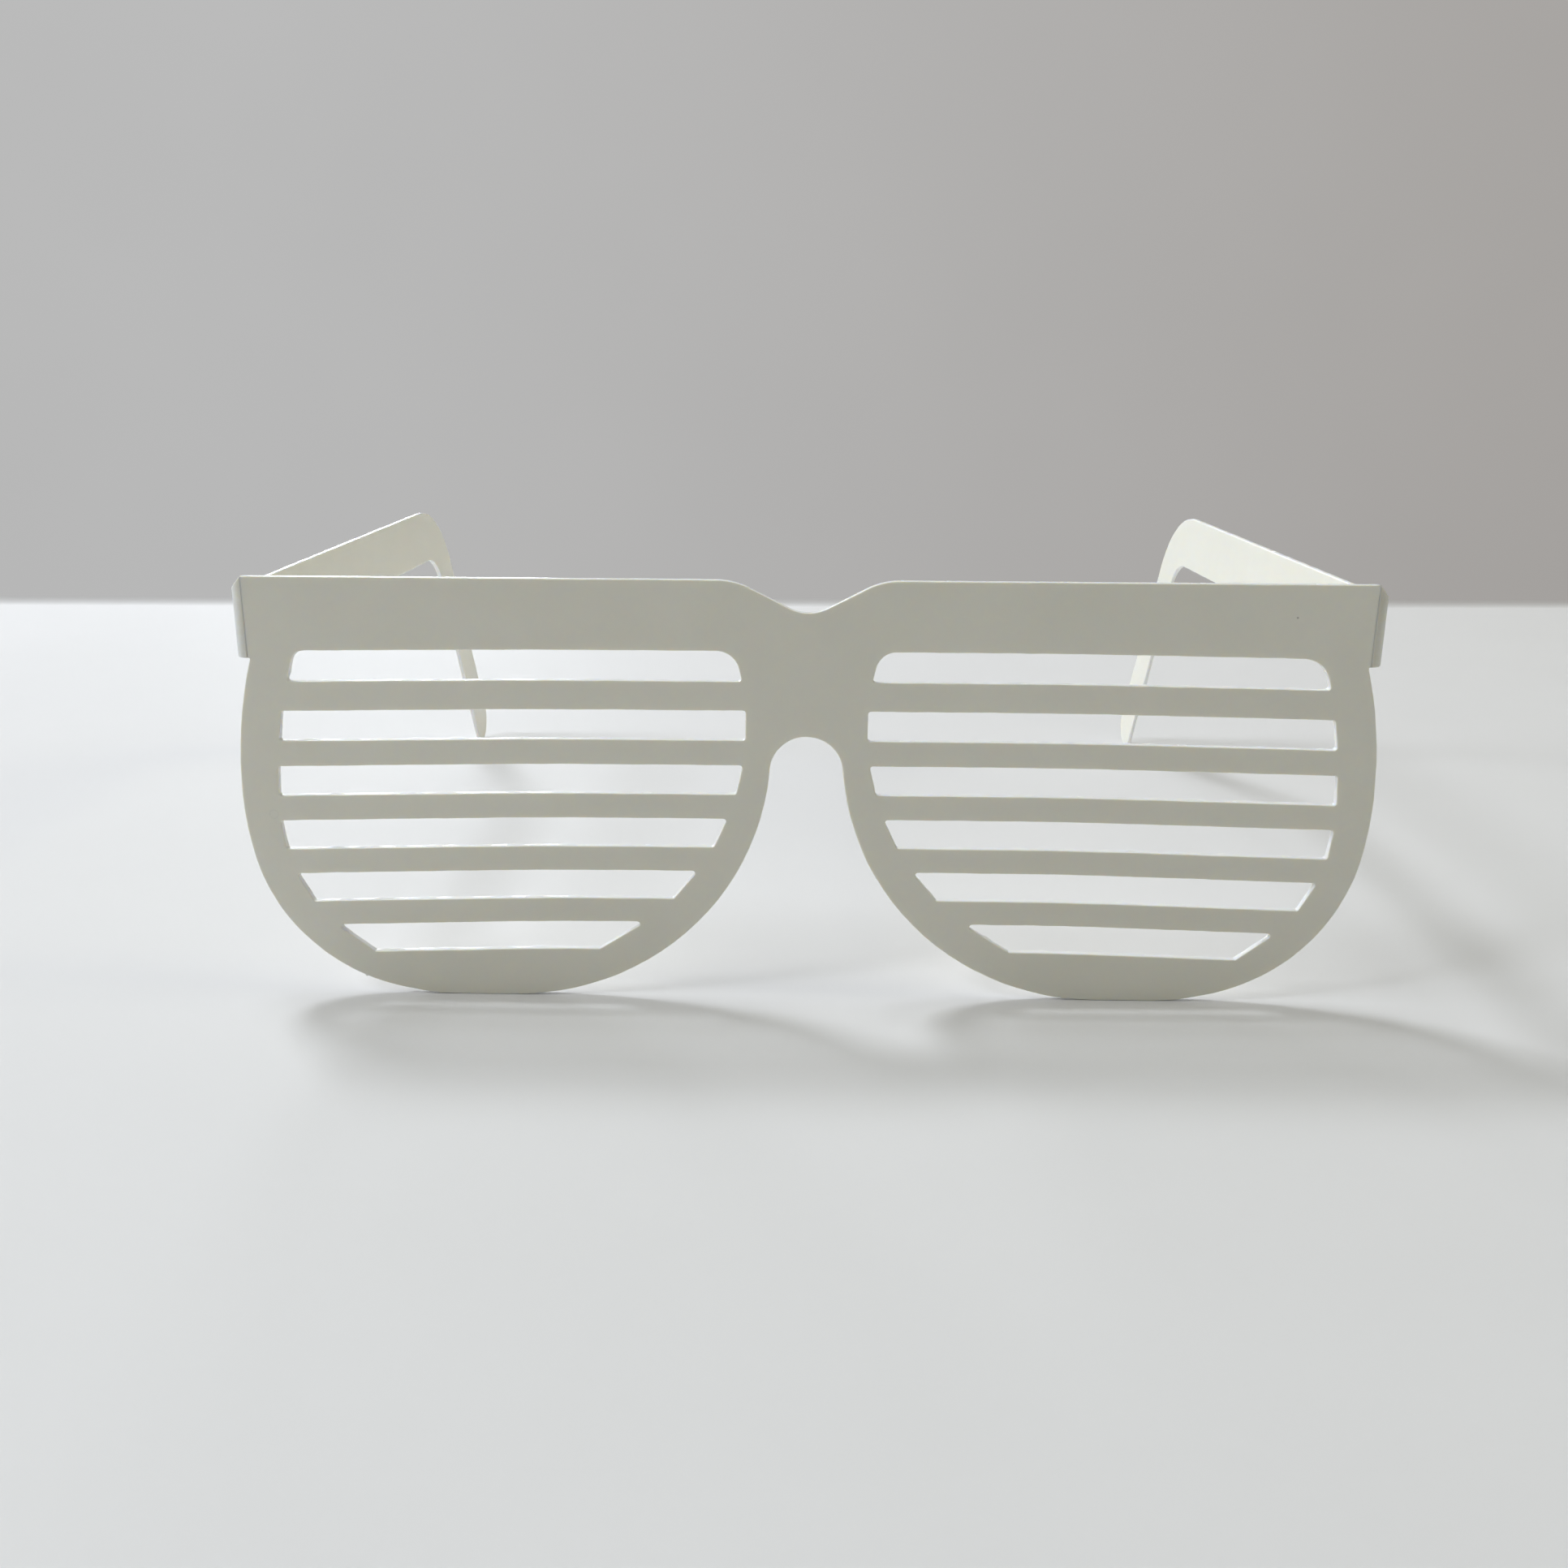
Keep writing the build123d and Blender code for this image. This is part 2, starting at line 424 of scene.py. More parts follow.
def front_loop(front, spacing):
    """Outline of the front: nose arch, rim, band end and brow on one side, then mirrored."""
    spring = (front.arch_half_width, front.arch_top - front.arch_half_width)
    nose_side, _ = arc((front.flat_start * HALF_WIDTH, 0), np.pi, spring)
    ends = [
        (front.toe_width * HALF_WIDTH, front.toe_level * front.widest_level),
        (front.cheek_width * HALF_WIDTH, front.cheek_level * front.widest_level),
        (HALF_WIDTH, front.widest_level),
        (BAND_END - front.band_step, ARM_BOTTOM),
    ]
    parts = [nose_side[::-1]]
    start, heading = (front.flat_end * HALF_WIDTH, 0), 0.0
    for end in ends:
        points, heading = arc(start, heading, end)
        parts.append(points)
        start = end
    right = np.concatenate([*parts, [(BAND_END, ARM_BOTTOM)]])
    dip = [
        (BAND_END, FRONT_HEIGHT),
        (front.dip_half_width, FRONT_HEIGHT),
        (0, FRONT_HEIGHT - front.dip_depth),
        (-front.dip_half_width, FRONT_HEIGHT),
        (-BAND_END, FRONT_HEIGHT),
        (0, 0),
    ]
    radii = [0, front.shoulder_radius, front.dip_radius, front.shoulder_radius, 0, 0]
    brow = rounded(dip, radii).reshape(len(dip), -1, 2)[:-1].reshape(-1, 2)
    arch = spring[0] * around(np.linspace(np.pi, 0, ARC_STEPS + 1)) + (0, spring[1])
    return closed_loop([right, brow, (right * (-1, 1))[::-1], arch], spacing)


def arm_loop(arms, spacing):
    """Outline of a temple seen from its outer side, with the ear hook and its round tip.

    The hook's two straight sides touch the round tip: each is the way from its corner to the
    tip's centre, turned by the angle whose sine is the tip's radius over that way's length.
    """
    tip = np.array([ARM_BACK - arms.tip_radius, arms.tip_radius])
    back_corner = np.array([ARM_BACK - arms.hook_reach, ARM_TOP])
    front_corner = back_corner - (arms.hook_setback, arms.bend_height)
    touches = []
    for corner, turn in ((back_corner, 1), (front_corner, -1)):
        way = tip - corner
        swing = np.arcsin(arms.tip_radius / np.hypot(*way))
        reach = np.hypot(*way) * np.cos(swing)
        touches.append(corner + reach * around(heading_of(way) + turn * swing))
    back_touch, front_touch = touches
    ends = [(ARM_START, ARM_TOP), (ARM_START, ARM_BOTTOM)]
    corners = [back_touch, back_corner, *ends, front_corner, front_touch]
    edge = rounded(corners, [0, arms.back_radius, 0, 0, arms.front_radius, 0])
    start, end = heading_of(front_touch - tip), heading_of(back_touch - tip)
    round_tip = tip + arms.tip_radius * around(np.linspace(start, end, TIP_STEPS + 1))
    return closed_loop([edge, round_tip], spacing)


def fill(loops, step):
    """Grid points and triangles of the flat shape inside the first loop and outside the rest.

    A square grid of points between the loops keeps the triangles even. The triangles come from
    a Delaunay triangulation that keeps the loops' own edges.
    """
    rim = np.concatenate(loops)
    low, high = rim.min(axis=0), rim.max(axis=0)
    across, up = (np.arange(low[axis] + step, high[axis], step) for axis in (0, 1))
    grid = np.stack(np.meshgrid(across, up), axis=-1).reshape(-1, 2)
    nearest = np.linalg.norm(grid[:, None] - rim[None], axis=2).min(axis=1)
    grid = grid[nearest > step / 3]
    points = np.concatenate([rim, grid])
    ends = np.cumsum([len(loop) for loop in loops]).tolist()
    rings = [list(range(start, end)) for start, end in zip([0, *ends], ends)]
    rings[1:] = [ring[::-1] for ring in rings[1:]]
    result = delaunay_2d_cdt(points.tolist(), [], rings, 1, TRIANGLE_TOLERANCE)
    _, _, faces, origins, _, owners = result
    source = np.array([origin[0] for origin in origins])
    solid = np.fromiter(map(len, owners), int) == 1
    triangles = source[np.array(faces)[solid]]
    first, second, third = (points[triangles[:, corner]] for corner in range(3))
    area = (turned(second - first) * (third - first)).sum(axis=1)
    triangles[area < 0] = triangles[area < 0][:, ::-1]
    used = np.unique(triangles[triangles >= len(rim)])
    place = np.zeros(len(points), int)
    place[: len(rim)] = np.arange(len(rim))
    place[used] = len(rim) + np.arange(len(used))
    return points[used], place[triangles]


def sheet(loops, edges, thickness, rounds, joined):
    """A flat sheet with rounded edges: its points in the sheet's plane, their depths and faces.

    A profile is carried round every loop. From the face's edge it is a quarter round, the wall
    and a quarter round to the back. At an angle of a quarter round, the inset is the radius times
    one less the sine, and the depth the radius times one less the cosine. A burr stands out of
    the back round by its height times the sine of twice the angle. Where a web joins the sheet,
    the edge has no round and its two corners are rounded only up and down.
    """
    moved, swells, burrs = [], [], []
    for number, loop in enumerate(loops):
        free = 1 - joined(loop)
        seed, *waves = STRAY
        stray = edges.wander * (0.5 + 0.5 * wander(loop, seed + number, *waves)) * free
        moved.append(loop + inward(loop) * stray[:, None])
        seed, *waves = SWELL
        swells.append(1 + SWELL_SHARE * wander(loop, seed + number, *waves) * free)
        seed, *waves = BURR
        rough = wander(loop, seed + number, *waves)
        burrs.append(edges.flash * smooth(rough, 0, 1) * free * (number > 0))
    loop, swell, burr = (np.concatenate(part) for part in (moved, swells, burrs))
    face_way = np.concatenate([inward(points) for points in moved])
    held = np.concatenate([joined(points) for points in loops]) > HELD
    wall_way = np.where(held[:, None], unit(face_way * (0, 1)), face_way)

    angle = np.linspace(0, np.pi / 2, EDGE_POINTS)[:, None]
    face, back = (size * swell * (1 - np.sin(angle)) for size in rounds)
    face_depth, back_depth = (size * swell * (1 - np.cos(angle)) for size in rounds)
    rough_back = (back - burr * np.sin(2 * angle))[::-1]
    insets = np.concatenate([face[:1], face, rough_back, back[:1]])
    deepest = thickness - back_depth
    depths = np.concatenate([face_depth[:1], face_depth, deepest[::-1], deepest[:1]])
    rows, count = insets.shape
    support = np.zeros((rows, 1, 1))
    support[[0, -1]] = SUPPORT_STEP
    rim = loop + wall_way * insets[..., None] + face_way * support

    ends = np.cumsum([len(points) for points in moved])
    following = np.arange(1, count + 1)
    following[ends - 1] = np.concatenate([[0], ends[:-1]])
    here = np.arange(rows - 1)[:, None] * count + np.arange(count)
    ahead = np.arange(rows - 1)[:, None] * count + following
    walls = np.stack([here, here + count, ahead + count, ahead], axis=-1).reshape(-1, 4)

    grid, triangles = fill(np.split(rim[0], ends[:-1]), edges.mesh_step)
    front_place = np.concatenate([np.arange(count), rows * count + np.arange(len(grid))])
    back_place = np.concatenate(
        [(rows - 1) * count + np.arange(count), rows * count + len(grid) + np.arange(len(grid))]
    )
    plane = np.concatenate([rim.reshape(-1, 2), grid, grid])
    deep = np.concatenate([depths.ravel(), np.zeros(len(grid)), np.full(len(grid), thickness)])
    faces = [walls, front_place[triangles], back_place[triangles[:, ::-1]]]
    wall_rows = np.zeros((rows, count))
    wall_rows[EDGE_POINTS - 1 : -2] = 1
    edge_share = np.concatenate([wall_rows.ravel(), np.zeros(2 * len(grid))])
    return plane, deep, faces, edge_share


def ring_faces(stations, count):
    """Faces between rings of points, and one face over the first ring and one over the last."""
    here = np.arange(stations - 1)[:, None] * count + np.arange(count)
    ahead = np.arange(stations - 1)[:, None] * count + (np.arange(count) + 1) % count
    walls = np.stack([here, ahead, ahead + count, here + count], axis=-1).reshape(-1, 4)
    cap = np.arange(count)
    return [walls, cap[None, ::-1], (stations - 1) * count + cap[None]]


def gate_nub(front, marks, spacing, steps=10, count=16, least_angle=0.15):
    """The stub where the moulding was cut off: half an egg shape that stands out of the rim.

    Each ring's distance out is the height times the cosine of an angle, and its radii along the
    rim and through the sheet are the stub's half width and a third of the sheet times the sine.
    """
    loop = front_loop(front, spacing)
    nearest = np.argmin(np.linalg.norm(loop - (marks.nub_x, marks.nub_z), axis=1))
    outward = -inward(loop)[nearest]
    angle = np.linspace(least_angle, np.pi / 2, steps)[:, None]
    turn = np.linspace(0, 2 * np.pi, count, endpoint=False)
    out = marks.nub_height * np.cos(angle) + 0 * turn
    along = marks.nub_width / 2 * np.sin(angle) * np.cos(turn)
    deep = FRONT_SHEET * (1 / 2 + np.sin(angle) * np.sin(turn) / 3)
    plane = loop[nearest] + out[..., None] * outward + along[..., None] * turned(outward)
    points = np.stack([plane[..., 0], FRONT_Y + deep, plane[..., 1]], axis=-1)
    return points.reshape(-1, 3), ring_faces(steps, count)


def web(arms, edges, round_points=22, straight_steps=3):
    """The left fold web: an oblong section with round corners, carried round the fold.

    Its outer face follows a quarter circle from the band's face to the temple's, then a short
    straight. The top comes down evenly with the distance out from the band's end.
    """
    angle = np.linspace(0, np.pi / 2, round_points)
    out = around(angle - np.pi / 2)
    outer = np.array([BAND_END, FRONT_Y + FOLD_RADIUS]) + FOLD_RADIUS * out
    straight = np.linspace(outer[-1], (FOLD_X, ARM_START), straight_steps + 1)[1:]
    outer = np.concatenate([outer, straight])
    inner_way = -np.concatenate([out, np.repeat(out[-1:], len(straight), axis=0)])
    drop = (FRONT_HEIGHT - ARM_TOP) * (outer[:, 0] - BAND_END) / FOLD_RADIUS
    top = FRONT_HEIGHT - drop

    low = np.zeros_like(top) + ARM_BOTTOM + edges.arm_radius
    high = top - edges.arm_radius
    near, far = edges.arm_radius + 0 * top, arms.web_sheet - edges.arm_radius + 0 * top
    centres = np.stack(
        [
            np.stack([near, low], axis=-1),
            np.stack([far, low], axis=-1),
            np.stack([far, high], axis=-1),
            np.stack([near, high], axis=-1),
        ],
        axis=1,
    )
    round_corner = np.linspace(0, np.pi / 2, EDGE_POINTS)
    quarter = np.pi + np.arange(4)[:, None] * np.pi / 2 + round_corner
    section = (centres[:, :, None] + edges.arm_radius * around(quarter)).reshape(len(top), -1, 2)
    across = outer[:, None] + inner_way[:, None] * section[..., :1]
    points = np.concatenate([across, section[..., 1:]], axis=-1)

    return points.reshape(-1, 3), ring_faces(*points.shape[:2])


def new_piece(name, points, faces, side, material):
    """A smooth mesh object; on the right side it is mirrored and its faces are turned round."""
    order = slice(None, None, side)
    polygons = [face for group in faces for face in group[:, order].tolist()]
    mesh = bpy.data.meshes.new(name)
    mesh.from_pydata(points * (side, 1, 1), [], polygons)
    mesh.shade_smooth()
    mesh.materials.append(material)
    piece = bpy.data.objects.new(name, mesh)
    bpy.context.scene.collection.objects.link(piece)
    return piece


def mark_edges(piece, edge_share):
    """Keeps on each point how much of it is cut edge and not face."""
    attribute = piece.data.attributes.new("edge_share", "FLOAT", "POINT")
    attribute.data.foreach_set("value", edge_share.astype(np.float32))


class Nodes:
    """Short calls for building one material's nodes."""

    def __init__(self, name):
        """Starts a material with a single plastic shader."""
        self.material = bpy.data.materials.new(name)
        self.material.use_nodes = True
        self.tree = self.material.node_tree
        self.shader = self.tree.nodes["Principled BSDF"]

    @classmethod
    def of_tree(cls, tree):
        """The same calls for nodes that aren't a material's."""
        nodes = cls.__new__(cls)
        nodes.tree = tree
        return nodes

    def add(self, kind, links=(), **values):
        """A new node; links go to its sockets by name or number, and values set its own fields."""
        node = self.tree.nodes.new(kind)
        for field, value in values.items():
            setattr(node, field, value)
        for socket, source in links:
            if isinstance(source, bpy.types.NodeSocket):
                self.tree.links.new(source, node.inputs[socket])
            else:
                node.inputs[socket].default_value = source
        return node

    def place(self):
        """Where a point lies on the object."""
        return self.add("ShaderNodeTexCoord").outputs["Object"]

    def noise(self, size, detail=3.0, roughness=0.55):
        """Noise whose features are about one size across."""
        links = [("Vector", self.place()), ("Scale", 1 / size), ("Detail", detail)]
        node = self.add("ShaderNodeTexNoise", [*links, ("Roughness", roughness)])
        return node.outputs["Fac"]

    def ranged(self, value, low, high, to_low, to_high, course="LINEAR"):
        """A value brought from one range to another, and held there."""
        links = [("Value", value), ("From Min", low), ("From Max", high)]
        links += [("To Min", to_low), ("To Max", to_high)]
        node = self.add("ShaderNodeMapRange", links, interpolation_type=course)
        return node.outputs["Result"]

    def worked(self, operation, first, second):
        """Two values put together by one sum."""
        return self.add("ShaderNodeMath", [(0, first), (1, second)], operation=operation).outputs[0]

    def mixed(self, part, first, second):
        """One colour mixed into another."""
        links = [(0, part), (6, first), (7, second)]
        return self.add("ShaderNodeMix", links, data_type="RGBA").outputs[2]

    def joined(self, part, first, second):
        """One shader mixed into another."""
        return self.add("ShaderNodeMixShader", [(0, part), (1, first), (2, second)]).outputs[0]

    def feed(self, socket, source):
        """Links one output to the shader."""
        self.tree.links.new(source, self.shader.inputs[socket])

    def finish(self, source):
        """Links a shader to the material's output."""
        self.tree.links.new(source, self.tree.nodes["Material Output"].inputs["Surface"])


def rgba(values, factor=1.0):
    """A colour with full cover, made lighter or darker by a factor."""
    return (*(value * factor for value in values), 1.0)


# The plastic's patterns: their sizes, the part of a noise that they use, and how much they show
NOISE_SPAN = (0.3, 0.7)
CLOUD_SIZE = 9 * MM
CLOUD_SPAN = (0.35, 0.65)
CLOUD_SHADE = 0.985
SATIN_SIZE = 3 * MM
SATIN_ROUGHNESS = (0.34, 0.42)
# How much of the edges' whiter tint is used, which is painted light
EDGE_PAINTED_LIGHT = 0.9
EDGE_POLISH = 0.14
GRAIN_SIZE = 0.35 * MM
GRAIN_DETAIL = 4.0
GRAIN_STRENGTH = 0.15
GRAIN_DEPTH = 0.02 * MM
SPECK_CELL = 5 * MM
SPECK_CHOICE = (0.93, 1.0)
SPECK_REACH = 0.035
SPECK_COVER = 0.6
RING_LINE = 0.12 * MM
RING_COVER = 0.5
RING_SHADE = 0.88
FOLD_STRAY_SIZE = 0.8 * MM
FOLD_STRAY = 0.3 * MM
# Painted shade on the fold web where it leaves the band, fading over these shares of the fold into
# its paler tint
FOLD_PAINTED_SHADE = 0.86
FOLD_PAINTED_SHADE_SHARES = (0.15, 0.75)
PLASTIC_IOR = 1.49
PLASTIC_GLOSS = 0.35
LIGHT_REACH = (1.0, 0.9, 0.7)


def plastic(nodes, tint, finish):
    """Slightly see-through moulded plastic: satin, with a fine grain and a few dust specks.

    The tint is a colour output. Each cell of a Voronoi pattern holds one point, and a speck lies
    on it where the cell's random value is near its end. The narrow edges are a little smoother,
    and painted a little whiter: painted light for their brightly lit tops.
    """
    cut = nodes.add("ShaderNodeAttribute", attribute_name="edge_share").outputs["Fac"]
    # Painted light: the narrow edges are tinted whiter where their tops catch the light
    edge_painted_light_tint = nodes.mixed(nodes.worked("MULTIPLY", cut, EDGE_PAINTED_LIGHT), tint, rgba(finish.edge))
    links = [("Vector", nodes.place()), ("Scale", 1 / SPECK_CELL)]
    cells = nodes.add("ShaderNodeTexVoronoi", links).outputs
    chosen = nodes.add("ShaderNodeSeparateXYZ", [("Vector", cells["Color"])]).outputs["X"]
    reach = nodes.ranged(chosen, *SPECK_CHOICE, 0.0, SPECK_REACH)
    inside = nodes.worked("LESS_THAN", cells["Distance"], reach)
    part = nodes.worked("MULTIPLY", inside, SPECK_COVER)
    nodes.feed("Base Color", nodes.mixed(part, edge_painted_light_tint, rgba(finish.speck)))
    satin = nodes.ranged(nodes.noise(SATIN_SIZE), *NOISE_SPAN, *SATIN_ROUGHNESS)
    polish = nodes.worked("MULTIPLY", cut, EDGE_POLISH)
    nodes.feed("Roughness", nodes.worked("SUBTRACT", satin, polish))
    links = [("Height", nodes.noise(GRAIN_SIZE, GRAIN_DETAIL))]
    links += [("Strength", GRAIN_STRENGTH), ("Distance", GRAIN_DEPTH)]
    nodes.feed("Normal", nodes.add("ShaderNodeBump", links).outputs["Normal"])
    shader = nodes.shader.inputs
    shader["IOR"].default_value = PLASTIC_IOR
    shader["Specular IOR Level"].default_value = PLASTIC_GLOSS
    shader["Subsurface Weight"].default_value = 1.0
    shader["Subsurface Radius"].default_value = LIGHT_REACH
    shader["Subsurface Scale"].default_value = finish.depth
    return nodes.material


def moulded(name, finish, marks=None):
    """The plastic of the front and the temples: faint clouds, and the ring where one is given."""
    nodes = Nodes(name)
    cloud = nodes.ranged(nodes.noise(CLOUD_SIZE), *CLOUD_SPAN, 0.0, 1.0)
    tint = nodes.mixed(cloud, rgba(finish.body, CLOUD_SHADE), rgba(finish.body))
    if marks:
        links = [(0, nodes.place()), (1, (1, 0, 1))]
        flat = nodes.add("ShaderNodeVectorMath", links, operation="MULTIPLY").outputs[0]
        links = [(0, flat), (1, (marks.ring_x, 0, marks.ring_z))]
        away = nodes.add("ShaderNodeVectorMath", links, operation="DISTANCE").outputs["Value"]
        off = nodes.worked("ABSOLUTE", nodes.worked("SUBTRACT", away, marks.ring_radius), 0.0)
        ring = nodes.ranged(off, 0.0, RING_LINE, RING_COVER, 0.0)
        tint = nodes.mixed(ring, tint, rgba(finish.body, RING_SHADE))
    return plastic(nodes, tint, finish)


def fold_with_painted_light(name, finish):
    """Mottled web plastic: painted shade by the band, paler outwards from whitening and painted
    light.
    """
    nodes = Nodes(name)
    place = nodes.add("ShaderNodeSeparateXYZ", [("Vector", nodes.place())])
    across = nodes.worked("ABSOLUTE", place.outputs["X"], 0.0)
    stray = nodes.ranged(nodes.noise(FOLD_STRAY_SIZE), *NOISE_SPAN, -FOLD_STRAY, FOLD_STRAY)
    across = nodes.worked("ADD", across, stray)
    crease = [BAND_END + FOLD_RADIUS * part for part in FOLD_PAINTED_SHADE_SHARES]
    paler = nodes.ranged(across, *crease, 0.0, 1.0)
    # Painted shade near the band turns into the paler tint, which is partly whitening and partly
    # painted light
    tint = nodes.mixed(paler, rgba(finish.body, FOLD_PAINTED_SHADE), rgba(finish.fold))
    return plastic(nodes, tint, finish)


class GLASSES_OT_front(Operator):
    """Slatted front: band, bridge, two rims and ten slats in one sheet"""

    bl_idname = "glasses.front"
    bl_label = "Front"

    def execute(self, context):
        """Builds the front's skin in place of the plain one."""
        scene = context.scene
        front, slots, edges = scene.glasses_front, scene.glasses_slots, scene.glasses_edges
        loops = [front_loop(front, edges.spacing), *slot_loops(front, slots, edges.spacing)]

        def joined(points):
            """One at the band's end, and zero from 2 mm inside it and all round the rims."""
            inside = BAND_END - np.abs(points[:, 0])
            beside_web = points[:, 1] > ARM_BOTTOM - SAME_LEVEL
            return (1 - smooth(inside, SAME_LEVEL, JOIN_REACH)) * beside_web

        rounds = (edges.radius, edges.back_radius)
        plane, deep, faces, edge_share = sheet(loops, edges, FRONT_SHEET, rounds, joined)
        points = np.stack([plane[:, 0], FRONT_Y + deep, plane[:, 1]], axis=1)
        finish = scene.glasses_plastic
        material = moulded("moulded_plastic", finish, scene.glasses_marks)
        piece = new_piece("front_skin", points, faces, 1, material)
        mark_edges(piece, edge_share)
        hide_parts("front_frame")
        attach(piece, "front")
        return {"FINISHED"}


class GLASSES_OT_nub(Operator):
    """Stub of the cut-off gate on one rim"""

    bl_idname = "glasses.nub"
    bl_label = "Gate nub"

    def execute(self, context):
        """Builds the stub on the rim's outline."""
        scene = context.scene
        spacing = scene.glasses_edges.spacing
        points, faces = gate_nub(scene.glasses_front, scene.glasses_marks, spacing)
        material = moulded("nub_plastic", scene.glasses_plastic)
        piece = new_piece("gate_nub", points, faces, 1, material)
        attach(piece, "front")
        return {"FINISHED"}


class GLASSES_OT_folds(Operator):
    """Thin fold webs that join the band's ends to the temples"""

    bl_idname = "glasses.folds"
    bl_label = "Fold webs"

    def execute(self, context):
        """Builds both webs, each bending between the front and its temple."""
        scene = context.scene
        arms, edges, finish = scene.glasses_arms, scene.glasses_edges, scene.glasses_plastic
        points, faces = web(arms, edges)
        material = fold_with_painted_light("fold_plastic", finish)
        for name, side in SIDES.items():
            piece = new_piece(f"{name}_fold_skin", points, faces, side, material)
            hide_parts(f"{name}_hinge_web")
            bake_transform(piece)
        return {"FINISHED"}


class GLASSES_OT_temples(Operator):
    """Flat temples with an ear hook and a round tip"""

    bl_idname = "glasses.temples"
    bl_label = "Temples"

    def execute(self, context):
        """Builds both temples."""
        scene = context.scene
        arms, edges, finish = scene.glasses_arms, scene.glasses_edges, scene.glasses_plastic
        loop = arm_loop(arms, edges.spacing)

        def joined(points):
            """One at the temple's start, and zero from 2 mm behind it."""
            return 1 - smooth(points[:, 0] - ARM_START, SAME_LEVEL, JOIN_REACH)

        rounds = (edges.arm_radius, edges.arm_radius)
        plane, deep, faces, edge_share = sheet([loop], edges, ARM_SHEET, rounds, joined)
        points = np.stack([FOLD_X - deep, plane[:, 0], plane[:, 1]], axis=1)
        material = moulded("temple_plastic", finish)
        for name, side in SIDES.items():
            piece = new_piece(f"{name}_arm_skin", points, faces, side, material)
            mark_edges(piece, edge_share)
            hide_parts(f"{name}_temple")
            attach(piece, f"{name}_temple")
        return {"FINISHED"}


# The table's and the wall's patterns, as for the plastic, and the stretches of the wall's painted
# light
# and shade: from its lighter left to its darker right, and from its darker foot upwards
TABLE_MOTTLE_SIZE = 60 * MM
TABLE_SHADE = 0.985
TABLE_GRAIN_SIZE = 1.2 * MM
TABLE_GRAIN_STRENGTH = 0.1
TABLE_GRAIN_DEPTH = 0.05 * MM
TABLE_ROUGHNESS = 0.6
TABLE_GLOSS = 0.2
WALL_ROUGHNESS = 0.8
WALL_MOTTLE_SIZE = 90 * MM
WALL_MOTTLE = (0.985, 1.005)
# Painted light across the wall, lighter to the left, and painted shade at its foot
WALL_PAINTED_LIGHT_SPAN = (-240 * MM, 360 * MM)
WALL_PAINTED_SHADE_RISE = (10 * MM, 210 * MM)
WALL_FOOT_PAINTED_SHADE = 0.955


def table_material(stage):
    """Matt white table with a faint mottle and a fine grain."""
    nodes = Nodes("table_top")
    mottle = nodes.ranged(nodes.noise(TABLE_MOTTLE_SIZE), *NOISE_SPAN, 0.0, 1.0)
    tint = nodes.mixed(mottle, rgba(stage.table, TABLE_SHADE), rgba(stage.table))
    nodes.feed("Base Color", tint)
    links = [("Height", nodes.noise(TABLE_GRAIN_SIZE))]
    links += [("Strength", TABLE_GRAIN_STRENGTH), ("Distance", TABLE_GRAIN_DEPTH)]
    nodes.feed("Normal", nodes.add("ShaderNodeBump", links).outputs["Normal"])
    nodes.shader.inputs["Roughness"].default_value = TABLE_ROUGHNESS
    nodes.shader.inputs["Specular IOR Level"].default_value = TABLE_GLOSS
    return nodes.material


def seen_ray(nodes):
    """One for a ray from the eye, directly or by way of a reflection or glass."""
    path = nodes.add("ShaderNodeLightPath").outputs
    either = nodes.worked("MAXIMUM", path["Is Camera Ray"], path["Is Glossy Ray"])
    return nodes.worked("MAXIMUM", either, path["Is Transmission Ray"])


def wall_material(stage):
    """Matt wall that shows plain glowing colours, with painted light to the left and painted shade
    at its foot.

    Seen directly it glows with its written colour from the cove upwards. Its back lets
    everything through, so that the glasses can be looked at from behind.
    """
    nodes = Nodes("wall_face")
    nodes.shader.inputs["Base Color"].default_value = rgba(stage.table)
    nodes.shader.inputs["Roughness"].default_value = WALL_ROUGHNESS
    place = nodes.add("ShaderNodeSeparateXYZ", [("Vector", nodes.place())])
    # Painted light across the wall and painted shade at its foot, carried in its glow
    side = nodes.ranged(place.outputs["X"], *WALL_PAINTED_LIGHT_SPAN, 0.0, 1.0, "SMOOTHSTEP")
    painted_side_light = nodes.mixed(side, rgba(stage.wall_painted_lit_left), rgba(stage.wall_painted_shaded_right))
    mottle = nodes.ranged(nodes.noise(WALL_MOTTLE_SIZE), *NOISE_SPAN, *WALL_MOTTLE)
    painted_foot_shade = nodes.ranged(place.outputs["Z"], *WALL_PAINTED_SHADE_RISE, WALL_FOOT_PAINTED_SHADE, 1.0)
    strength = nodes.worked("MULTIPLY", mottle, painted_foot_shade)
    glow = nodes.add("ShaderNodeEmission", [("Color", painted_side_light), ("Strength", strength)])
    rise = nodes.ranged(place.outputs["Z"], 0.0, stage.cove, 0.0, 1.0)
    plain = nodes.worked("MULTIPLY", seen_ray(nodes), rise)
    front = nodes.joined(plain, nodes.shader.outputs[0], glow.outputs[0])
    back = nodes.add("ShaderNodeNewGeometry").outputs["Backfacing"]
    through = nodes.add("ShaderNodeBsdfTransparent").outputs[0]
    nodes.finish(nodes.joined(back, front, through))
    return nodes.material


def room_world(stage):
    """Dim light from all round, which shows as the wall's middle grey where it is looked at."""
    world = bpy.data.worlds.new("room")
    world.use_nodes = True
    nodes = Nodes.of_tree(world.node_tree)
    middle = [(left + right) / 2 for left, right in zip(stage.wall_painted_lit_left, stage.wall_painted_shaded_right)]
    shown = nodes.mixed(seen_ray(nodes), rgba(stage.room), rgba(middle))
    world.node_tree.links.new(shown, world.node_tree.nodes["Background"].inputs["Color"])
    return world


